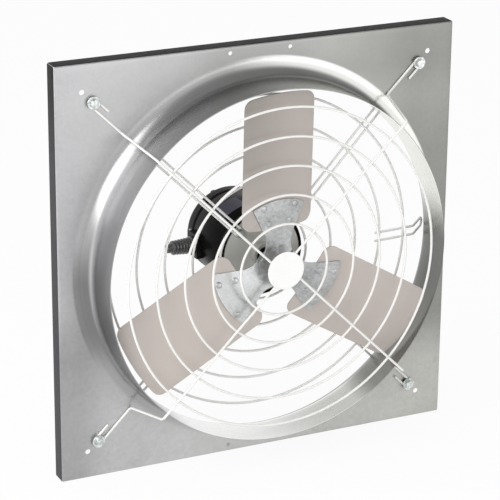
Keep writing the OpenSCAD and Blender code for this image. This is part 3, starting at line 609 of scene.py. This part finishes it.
# The tree that draws wire along the edges of a mesh, a little uneven as bent wire is
tree, given = new_tree("wire_along_edges", [("Wire Radius", "Float"), ("Sides", "Int"),
                                            ("Unevenness", "Float")])
wander = tree.node("ShaderNodeTexNoise", sockets={"Vector": tree.node("InputPosition"), "Scale": 9.0},
                   out="Color")
centred = tree.node("ShaderNodeVectorMath", {"operation": "SUBTRACT"}, {0: wander, 1: (0.5, 0.5, 0.5)})
shift = tree.node("ShaderNodeVectorMath", {"operation": "SCALE"},
                  {0: centred, "Scale": given.other("Unevenness")})
moved = tree.node("SetPosition", sockets={"Geometry": given, "Offset": shift})
line = tree.node("MeshToCurve", sockets={"Mesh": moved})
section = tree.node("CurvePrimitiveCircle", sockets={"Resolution": given.other("Sides"),
                                                     "Radius": given.other("Wire Radius")})
wire = tree.node("CurveToMesh", sockets={"Curve": line, "Profile Curve": section, "Fill Caps": True})
wire_along_edges = ended(tree, wire, given)

# The tree that puts a weld on each point of a mesh, no two of one size
tree, given = new_tree("weld_on_points", [("Weld Radius", "Float")])
bead = tree.node("MeshIcoSphere", sockets={"Radius": given.other("Weld Radius"), "Subdivisions": 2})
chance = tree.node("ShaderNodeTexNoise", sockets={"Vector": tree.node("InputPosition"), "Scale": 97.0})
uneven = chance * 0.9 + 0.55
welds = tree.node("InstanceOnPoints", sockets={"Points": given, "Instance": bead, "Scale": uneven})
weld_on_points = ended(tree, welds, given)

guard_z = 79.4
ring_count = 5
front_ring_r, front_ring_step = 61, 38.5
weld_gap = 0.05
spoke_angles = (45, 135, 225, 315)
spoke_start, spoke_bend, spoke_foot = 9, 246, 264
spoke_foot_z = wire_d / 2
wire_bend = 5
hook_r = 4.8
hook_leg = 24


def lines(paths):
    """A mesh of edges along open or closed paths. A path whose ends meet is closed."""
    mesh = bpy.data.meshes.new("lines")
    points, edges = [], []
    for path in paths:
        closed = (Vector(path[0]) - Vector(path[-1])).length < 1e-4
        path = path[:-1] if closed else path
        first = len(points)
        points += [upright @ Vector(p) for p in path]
        edges += [(first + k, first + k + 1) for k in range(len(path) - 1)]
        if closed:
            edges.append((len(points) - 1, first))
    mesh.from_pydata(points, edges, [])
    return mesh


def bent(corners, bend, aside=hook_r, steps=8):
    """A leg of wire beside its middle line, through (out, forward) corners with rounded bends."""
    corners = [Vector((r, aside, z)) for r, z in corners]
    path = [corners[0]]
    for before, corner, after in zip(corners, corners[1:], corners[2:]):
        into, away = (corner - before).normalized(), (after - corner).normalized()
        angle = into.angle(away)
        start = corner - into * bend * tan(angle / 2)
        side = (away - into * into.dot(away)).normalized()
        path += [start + into * bend * sin(angle * k / steps) + side * bend * (1 - cos(angle * k / steps))
                 for k in range(steps + 1)]
    return path + [corners[-1]]


def half_turn(centre, way, radius, last=165):
    """Wire from one side of a centre round to the other, on the side that way points to."""
    angles = [radians(a) for a in range(15, last + 1, 15)]
    return [centre + way * radius * sin(a) + Vector((0, radius * cos(a), 0)) for a in angles]


def along(path, distance=12):
    """The path's points, closer together, for wire that wanders a little."""
    fine = []
    for a, b in zip(path, path[1:]):
        steps = max(1, int((b - a).length / distance))
        fine += [a.lerp(b, k / steps) for k in range(steps)]
    return fine + [path[-1]]


def ring_path(radius, z, steps=144):
    """A ring round the fan's axis, whose ends meet."""
    turns = [2 * pi * k / steps for k in range(steps + 1)]
    return [(radius * cos(a), radius * sin(a), z) for a in turns]


def turned_by(angle, path):
    """A path of (out, across, forward) points, turned to its angle round the axis."""
    return [Matrix.Rotation(radians(angle), 3, "Z") @ Vector(p) for p in path]


def wires(name, paths, node_names, unevenness=0.0008):
    """White wire along several paths, as one piece."""
    mesh = made_by(wire_along_edges, lines(paths), wire_radius=wire_d / 2 * mm, sides=12,
                   unevenness=unevenness, material=shaded_white_coat)
    piece(name, mesh, shaded_white_coat, "frame", 50, node_names)


def welded(name, rings, asides, rise, radius):
    """A weld wherever a ring crosses a leg that lies aside of its spoke's or arm's middle line."""
    points = [upright @ p for a in spoke_angles for r, z in rings for s in asides
              for p in turned_by(a, [((r * r - s * s) ** 0.5, s, z + rise)])]
    mesh = bpy.data.meshes.new("points")
    mesh.from_pydata(points, [], [])
    made = made_by(weld_on_points, mesh, weld_radius=radius * mm, material=shaded_white_coat)
    piece(name, made, shaded_white_coat, "frame", 60)


front_rings = [(front_ring_r + front_ring_step * k, guard_z - wire_d - weld_gap) for k in range(ring_count)]
wires("front_rings", [ring_path(*ring) for ring in front_rings], [f"front_ring_{k}" for k in range(1, 6)])
down = bent([(spoke_start, guard_z), (spoke_bend, guard_z), (spoke_foot, spoke_foot_z),
             (bolt_circle, spoke_foot_z)], wire_bend)
hook = half_turn(Vector((bolt_circle, 0, spoke_foot_z)), Vector((1, 0, 0)), hook_r, 180)
spoke = along(down + hook + [Vector((bolt_circle - hook_leg, -hook_r, spoke_foot_z))])
wires("front_spokes", [turned_by(a, spoke) for a in spoke_angles], [f"front_spoke_{k}" for k in range(1, 5)])
welded("front_welds", front_rings, [hook_r], wire_d / 2, 1.7)

disc_low, disc_high, disc_r = 81.05, 82.55, 25.4
disc_profile = [(0, disc_low), (disc_r - 0.8, disc_low), (disc_r - 0.1, disc_low + 0.3),
                (disc_r, disc_low + 0.8), (disc_r - 0.3, disc_high - 0.2), (disc_r - 1.2, disc_high),
                (disc_r - 3, disc_high - 0.15), (0, disc_high - 0.15)]
piece("centre_plate", lathed(disc_profile, 72), lit_white_plate, "frame", 30, ["front_disc"])


# Rear guard: five more rings on four hairpin arms of the same wire. The arms carry the motor on its
# studs, and end under the bolts behind the panel. A bent hairpin hangs at the right side.
arm_end_r, arm_foot_r, arm_level_r, stud_circle = 336.29, 256, 63, 46
arm_back_z, arm_front_z = -2.8, 10.8
arm_bend = 60
rear_ring_r, rear_ring_step = 61.5, 37.7
loop_start_r, loop_bend_r = 170, 230
loop_half_w, loop_rise, loop_tail = 5.8, -5.2, 35


def arm_z(r):
    """How far forward the arms are at a distance from the axis, as they slope to the motor."""
    return arm_back_z + (arm_front_z - arm_back_z) * min(1, (arm_foot_r - r) / (arm_foot_r - arm_level_r))


def hairpin(leg, turn_back):
    """A leg of wire, its turn, and its mirror image back."""
    return along(leg + turn_back + [Vector((p.x, -p.y, p.z)) for p in leg[::-1]])


rear_radii = [rear_ring_r + rear_ring_step * k for k in range(ring_count)]
rear_rings = [(r, arm_z(r) + wire_d + weld_gap) for r in rear_radii]
wires("rear_rings", [ring_path(*ring) for ring in rear_rings], [f"rear_ring_{k}" for k in range(1, 6)])
arm_leg = bent([(arm_end_r, arm_back_z), (arm_foot_r, arm_back_z), (arm_level_r, arm_front_z),
                (stud_circle, arm_front_z)], arm_bend)
arm = hairpin(arm_leg, half_turn(Vector((stud_circle, 0, arm_front_z)), Vector((-1, 0, 0)), hook_r))
wires("motor_arms", [turned_by(a, arm) for a in spoke_angles], [f"motor_arm_{k}" for k in range(1, 5)],
      unevenness=0.0)
welded("rear_welds", rear_rings, [-hook_r, hook_r], -wire_d / 2, 1.6)

tail_way = Vector((cos(pi / 4), 0, -sin(pi / 4)))
tail_end = Vector((loop_bend_r, 0, arm_z(loop_bend_r))) + tail_way * loop_tail
loop_leg = bent([(loop_start_r, arm_z(loop_start_r)), (loop_bend_r, arm_z(loop_bend_r)),
                 (tail_end.x, tail_end.z)], wire_bend, loop_half_w)
loop = hairpin(loop_leg, half_turn(tail_end, tail_way, loop_half_w))
wires("side_hairpin", [[p + Vector((0, loop_rise, 0)) for p in loop]], ["side_loop"], unevenness=0.0)


# Motor body: a drawn steel shell in glossy black enamel, with a bare cast end bell in front and a black
# one behind, held by four screws in its ears. Studs through the front bell hold the arms.
def wear(material, *names):
    """Puts one material on whole CAD nodes."""
    for name in names:
        nodes[name].data.materials.clear()
        nodes[name].data.materials.append(material)


tree, place, shader = finish("black_enamel")
peel = noise(tree, place, 240)
dust = noise(tree, place, 900)
black_enamel = shader({
    "Base Color": blend_colour(tree, peel, (0.004, 0.004, 0.0038), (0.009, 0.0085, 0.008)),
    "Roughness": 0.2 + peel * 0.1 + dust * 0.06,
    "Specular IOR Level": 0.03,
    "Normal": bumped(tree, peel + dust * 0.2, 0.2, 0.0003)})

tree, place, shader = finish("black_cast")
pitted = noise(tree, place, 520, 4, 0.6)
thin = noise(tree, place, 26)
black_cast = shader({
    "Base Color": blend_colour(tree, thin * 0.7 + pitted * 0.3, (0.005, 0.005, 0.005), (0.014, 0.014, 0.014)),
    "Roughness": 0.34 + pitted * 0.2,
    "Specular IOR Level": 0.16,
    "Normal": bumped(tree, pitted, 0.35, 0.0004)})
wear(black_cast, "rear_end_bell")

shell_r, shell_front_z, shell_rear_z = 59, 8, -84
shell_bend = 2.2
bead_depth, bead_half, bead_floor = 0.6, 2, 0.8
bead_places = (0.5, -79)
shell_profile = [(53.6, shell_front_z - 1.5), (53.5, shell_front_z - 0.4), (54.2, shell_front_z)]
shell_profile += arc((shell_r - shell_bend, shell_front_z - shell_bend), shell_bend, 90, 0)
for middle in bead_places:
    shell_profile += [(shell_r, middle + bead_half), (shell_r - bead_depth, middle + bead_floor),
                      (shell_r - bead_depth, middle - bead_floor), (shell_r, middle - bead_half)]
shell_profile += [(shell_r, shell_rear_z + edge_ease), (shell_r - edge_ease, shell_rear_z),
                  (57.6, shell_rear_z), (57.55, shell_front_z - 1.6)]
piece("motor_can", lathed(shell_profile, 96, True), black_enamel, "frame", 40, ["motor_shell"])

tree, place, shader = finish("cast_alloy")
cast = noise(tree, place, 420, 4, 0.65)
patch = noise(tree, place, 40)
alloy = shader({
    "Base Color": blend_colour(tree, cast * 0.5 + patch * 0.5, (0.50, 0.50, 0.47), (0.66, 0.66, 0.62)),
    "Metallic": 0.4,
    "Roughness": 0.42 + cast * 0.2,
    "Normal": bumped(tree, cast, 0.4, 0.0003)})
wear(alloy, "front_end_bell")
wear(zinc, "rear_bell_screws", "mounting_studs", "stud_washers")

stud_r, stud_nut_flats, stud_nut_z, stud_nut_t = 2.5, 8, 13.4, 4
stud_nut = hexed(stud_nut_flats, stud_nut_z, stud_nut_z + stud_nut_t, stud_r, True)
made = made_by(round_the_axis, stud_nut, count=4, pitch_radius=stud_circle, first_angle=pi / 4, material=zinc)
piece("stud_hex_nuts", made, zinc, "frame", 30, ["stud_nuts"])


# Inside of the motor: stamped and riveted laminations, varnished copper windings, a cast cage rotor,
# and oiled bronze sleeves in both bells.
tree, place, shader = finish("stamped_steel")
x, y, z = axes(tree, place)
stack = noise(tree, stretched(tree, x * 20, y * 2000, z * 20), 1)
stamped_steel = shader({
    "Base Color": blend_colour(tree, stack, (0.2, 0.2, 0.21), (0.34, 0.34, 0.35)),
    "Metallic": 0.9,
    "Roughness": 0.38 + stack * 0.14})
wear(stamped_steel, "stator_core", "rotor_core", "thrust_collars")

tree, place, shader = finish("varnished_copper")
x, y, z = axes(tree, place)
strand = noise(tree, stretched(tree, off_axis(x, z) * 900, y * 900, x.maths("ARCTAN2", z) * 6), 1)
varnished_copper = shader({
    "Base Color": blend_colour(tree, strand, (0.30, 0.09, 0.03), (0.58, 0.24, 0.10)),
    "Metallic": 0.7,
    "Roughness": 0.3 + strand * 0.2,
    "Normal": bumped(tree, strand, 0.6, 0.0005)})
wear(varnished_copper, "windings")

tree, place, shader = finish("oiled_bronze")
pores = noise(tree, place, 900, 3)
oiled_bronze = shader({
    "Base Color": blend_colour(tree, pores, (0.34, 0.2, 0.07), (0.55, 0.36, 0.15)),
    "Metallic": 1.0,
    "Roughness": 0.34 + pores * 0.14,
    "Normal": bumped(tree, pores, 0.3, 0.0002)})
wear(oiled_bronze, "front_bearing", "rear_bearing")


# Terminal box: a small steel box on the shell's left side with a screwed lid, and a moulded rubber
# boot that guides the supply lead in. A blank plate is fixed to the shell above it.
wear(black_cast, "terminal_box", "terminal_lid")
wear(zinc, "lid_screws")

boot_x, boot_up, boot_forward = -64.5, -6, -68.8
boot_len, boot_bore, boot_neck, boot_flange = 36.5, 4.2, 6.18, 12
ribs, first_rib, rib_step, rib_reach = 6, 3.8, 4.1, 11.2
boot_profile = [(boot_bore, -1.9), (boot_neck, -1.9), (boot_neck, 0.02), (boot_flange - 0.4, 0.02),
                (boot_flange, 0.6), (boot_flange, 2.6), (boot_flange - 0.6, 3.2)]
for k in range(ribs):
    low = first_rib + rib_step * k
    reach = rib_reach - 0.3 * k
    boot_profile += [(reach - 0.6, low), (reach - 0.6, low + 0.7)]
    boot_profile += arc((reach - 1.2, low + 2.3), 1.2, -50, 50, 5)
snout = first_rib + rib_step * ribs
boot_profile += [(9.4, snout + 0.3), (8.6, snout + 1.2), (6.6, snout + 1.7), (6.3, snout + 4),
                 (6.1, boot_len - 0.6), (5.6, boot_len), (4.6, boot_len), (boot_bore, boot_len - 0.5)]
boot_foot = Matrix.Translation((boot_x * mm, -boot_forward * mm, boot_up * mm))
boot_place = boot_foot @ Matrix.Rotation(-pi / 2, 4, "Y") @ Matrix.Scale(mm, 4)

tree, place, shader = finish("moulded_rubber")
bloom = noise(tree, place, 150, 3)
pitted = noise(tree, place, 1100)
moulded_rubber = shader({
    "Base Color": blend_colour(tree, bloom, (0.050, 0.050, 0.050), (0.120, 0.120, 0.117)),
    "Roughness": 0.16 + bloom * 0.16,
    "Specular IOR Level": 0.7,
    "Normal": bumped(tree, pitted, 0.15, 0.0002)})
boot = lathed(boot_profile, 40, True, boot_place)
piece("ribbed_boot", boot, moulded_rubber, "frame", 50, ["cable_boot"])

tree, place, shader = finish("blank_plate")
x, y, _ = axes(tree, place)
sheen = noise(tree, place, 60)
brushed = noise(tree, stretched(tree, x * 60, y * 2500), 1)
plate = shader({
    "Base Color": blend_colour(tree, sheen, (0.016, 0.016, 0.032), (0.032, 0.032, 0.062)),
    "Metallic": 0.6,
    "Roughness": 0.3 + brushed * 0.15})
wear(plate, "rating_plate")


# Propeller: three cambered sheet blades in a pale primer, riveted behind a galvanised three-armed
# plate that is staked on a turned boss. The boss is held on the ground shaft by a set screw, and a
# rubber slinger keeps water from the bearing.
tree, place, shader = finish("turned_steel")
x, y, z = axes(tree, place)
turning = noise(tree, stretched(tree, off_axis(x, z) * 60, y * 3000), 1)
turned_steel = shader({
    "Base Color": blend_colour(tree, turning, (0.40, 0.40, 0.39), (0.58, 0.58, 0.57)),
    "Metallic": 1.0,
    "Roughness": 0.28 + turning * 0.12})
wear(turned_steel, "motor_shaft", "hub_boss")

tree, place, shader = finish("black_oxide")
film = noise(tree, place, 500)
black_oxide = shader({
    "Base Color": blend_colour(tree, film, (0.02, 0.02, 0.02), (0.045, 0.045, 0.05)),
    "Metallic": 0.7,
    "Roughness": 0.35 + film * 0.15})
wear(black_oxide, "set_screw")

# The slinger is a real part, and its black also paints the dark shadow gap round the boss
slinger_low, slinger_high, slinger_bore, slinger_rim = 21.7, 24.7, 4.1, 1.3
slinger_profile = [(slinger_bore, slinger_low), (11, slinger_low)]
slinger_profile += arc((11.7, slinger_low + slinger_rim), slinger_rim, -90, 90)
slinger_profile += [(9, slinger_high - 0.3), (7, slinger_high), (slinger_bore, slinger_high)]
slinger = lathed(slinger_profile, closed=True)
piece("rubber_slinger", slinger, black_enamel, "rotor", 40, ["slinger"])

tree, place, shader = finish("hub_galvanised")
spangle = tree.node("TexVoronoi", sockets={"Vector": place, "Scale": 330}, out="Color")
flake = tree.node("SeparateColor", sockets={0: spangle}, out=0)
fine = noise(tree, place, 600, 3)
hub_tone = 0.26 + flake * 0.13 + fine * 0.10 + noise(tree, place, 22) * 0.22
hub_plate = shader({
    "Base Color": tree.node("CombineColor", sockets={0: hub_tone * 0.985, 1: hub_tone, 2: hub_tone * 1.005}),
    "Metallic": 1.0,
    "Roughness": 0.28 + flake * 0.16,
    "Normal": bumped(tree, fine + noise(tree, place, 30, 1) * 3, 0.25, 0.0003)})
wear(hub_plate, "hub_spider")

blade_phase, blade_pitch, blade_height, camber_r = 89, 10, 55.2, 340
rivet_r, rivet_dome, rivet_front, rivet_back = 4.2, 0.9, 3.05, -0.95
rivet_mid = 68
rivet_places = ((58, 16), (58, -16), (79, 24), (79, -24))


def dome(base, height):
    """The profile of a low round head, from its rim to its crown."""
    angles = [radians(a) for a in (0, 20, 40, 60, 80)]
    return [(rivet_r * cos(a), base + height * sin(a)) for a in angles] + [(0, base + height)]


# Each rivet stands square to the blade, which is pitched and cambered round its own length
rivet_profile = dome(rivet_back, -rivet_dome)[::-1] + dome(rivet_front, rivet_dome)
pitched = Matrix.Translation((-rivet_mid, 0, blade_height)) @ Matrix.Rotation(radians(blade_pitch), 4, "X")
rivets = []
for out, aside in rivet_places:
    leaned = pitched @ Matrix.Translation((out, 0, -camber_r)) @ Matrix.Rotation(-aside / camber_r, 4, "X")
    rivet_place = leaned @ Matrix.Translation((0, 0, camber_r))
    rivets.append(lathed(rivet_profile, 24, place=rivet_place))
made = made_by(round_the_axis, joined(*rivets), count=3, pitch_radius=rivet_mid,
               first_angle=radians(blade_phase), material=hub_plate)
piece("dome_rivets", made, hub_plate, "rotor", 50, ["blade_rivets"])

tree, place, shader = finish("blade_primer")
x, _, z = axes(tree, place)
drift = noise(tree, place, 9, 3)
grit = noise(tree, place, 700)
# Painted shade darkens the blades towards the upper left of the propeller as it stands at rest
painted_blade_shade = z.over(0.03, 0.15) * x.over(0.05, -0.05) * (drift * 0.8 + 0.6)
paint = blend_colour(tree, drift * 0.7 + grit * 0.3, (0.47, 0.42, 0.385), (0.57, 0.51, 0.47))
blade_primer = shader({
    "Base Color": blend_colour(tree, painted_blade_shade * 0.75, paint, (0.27, 0.245, 0.22)),
    "Roughness": 0.42 + grit * 0.12,
    "Normal": bumped(tree, grit, 0.12, 0.0002)})
wear(blade_primer, "blade_1", "blade_2", "blade_3")
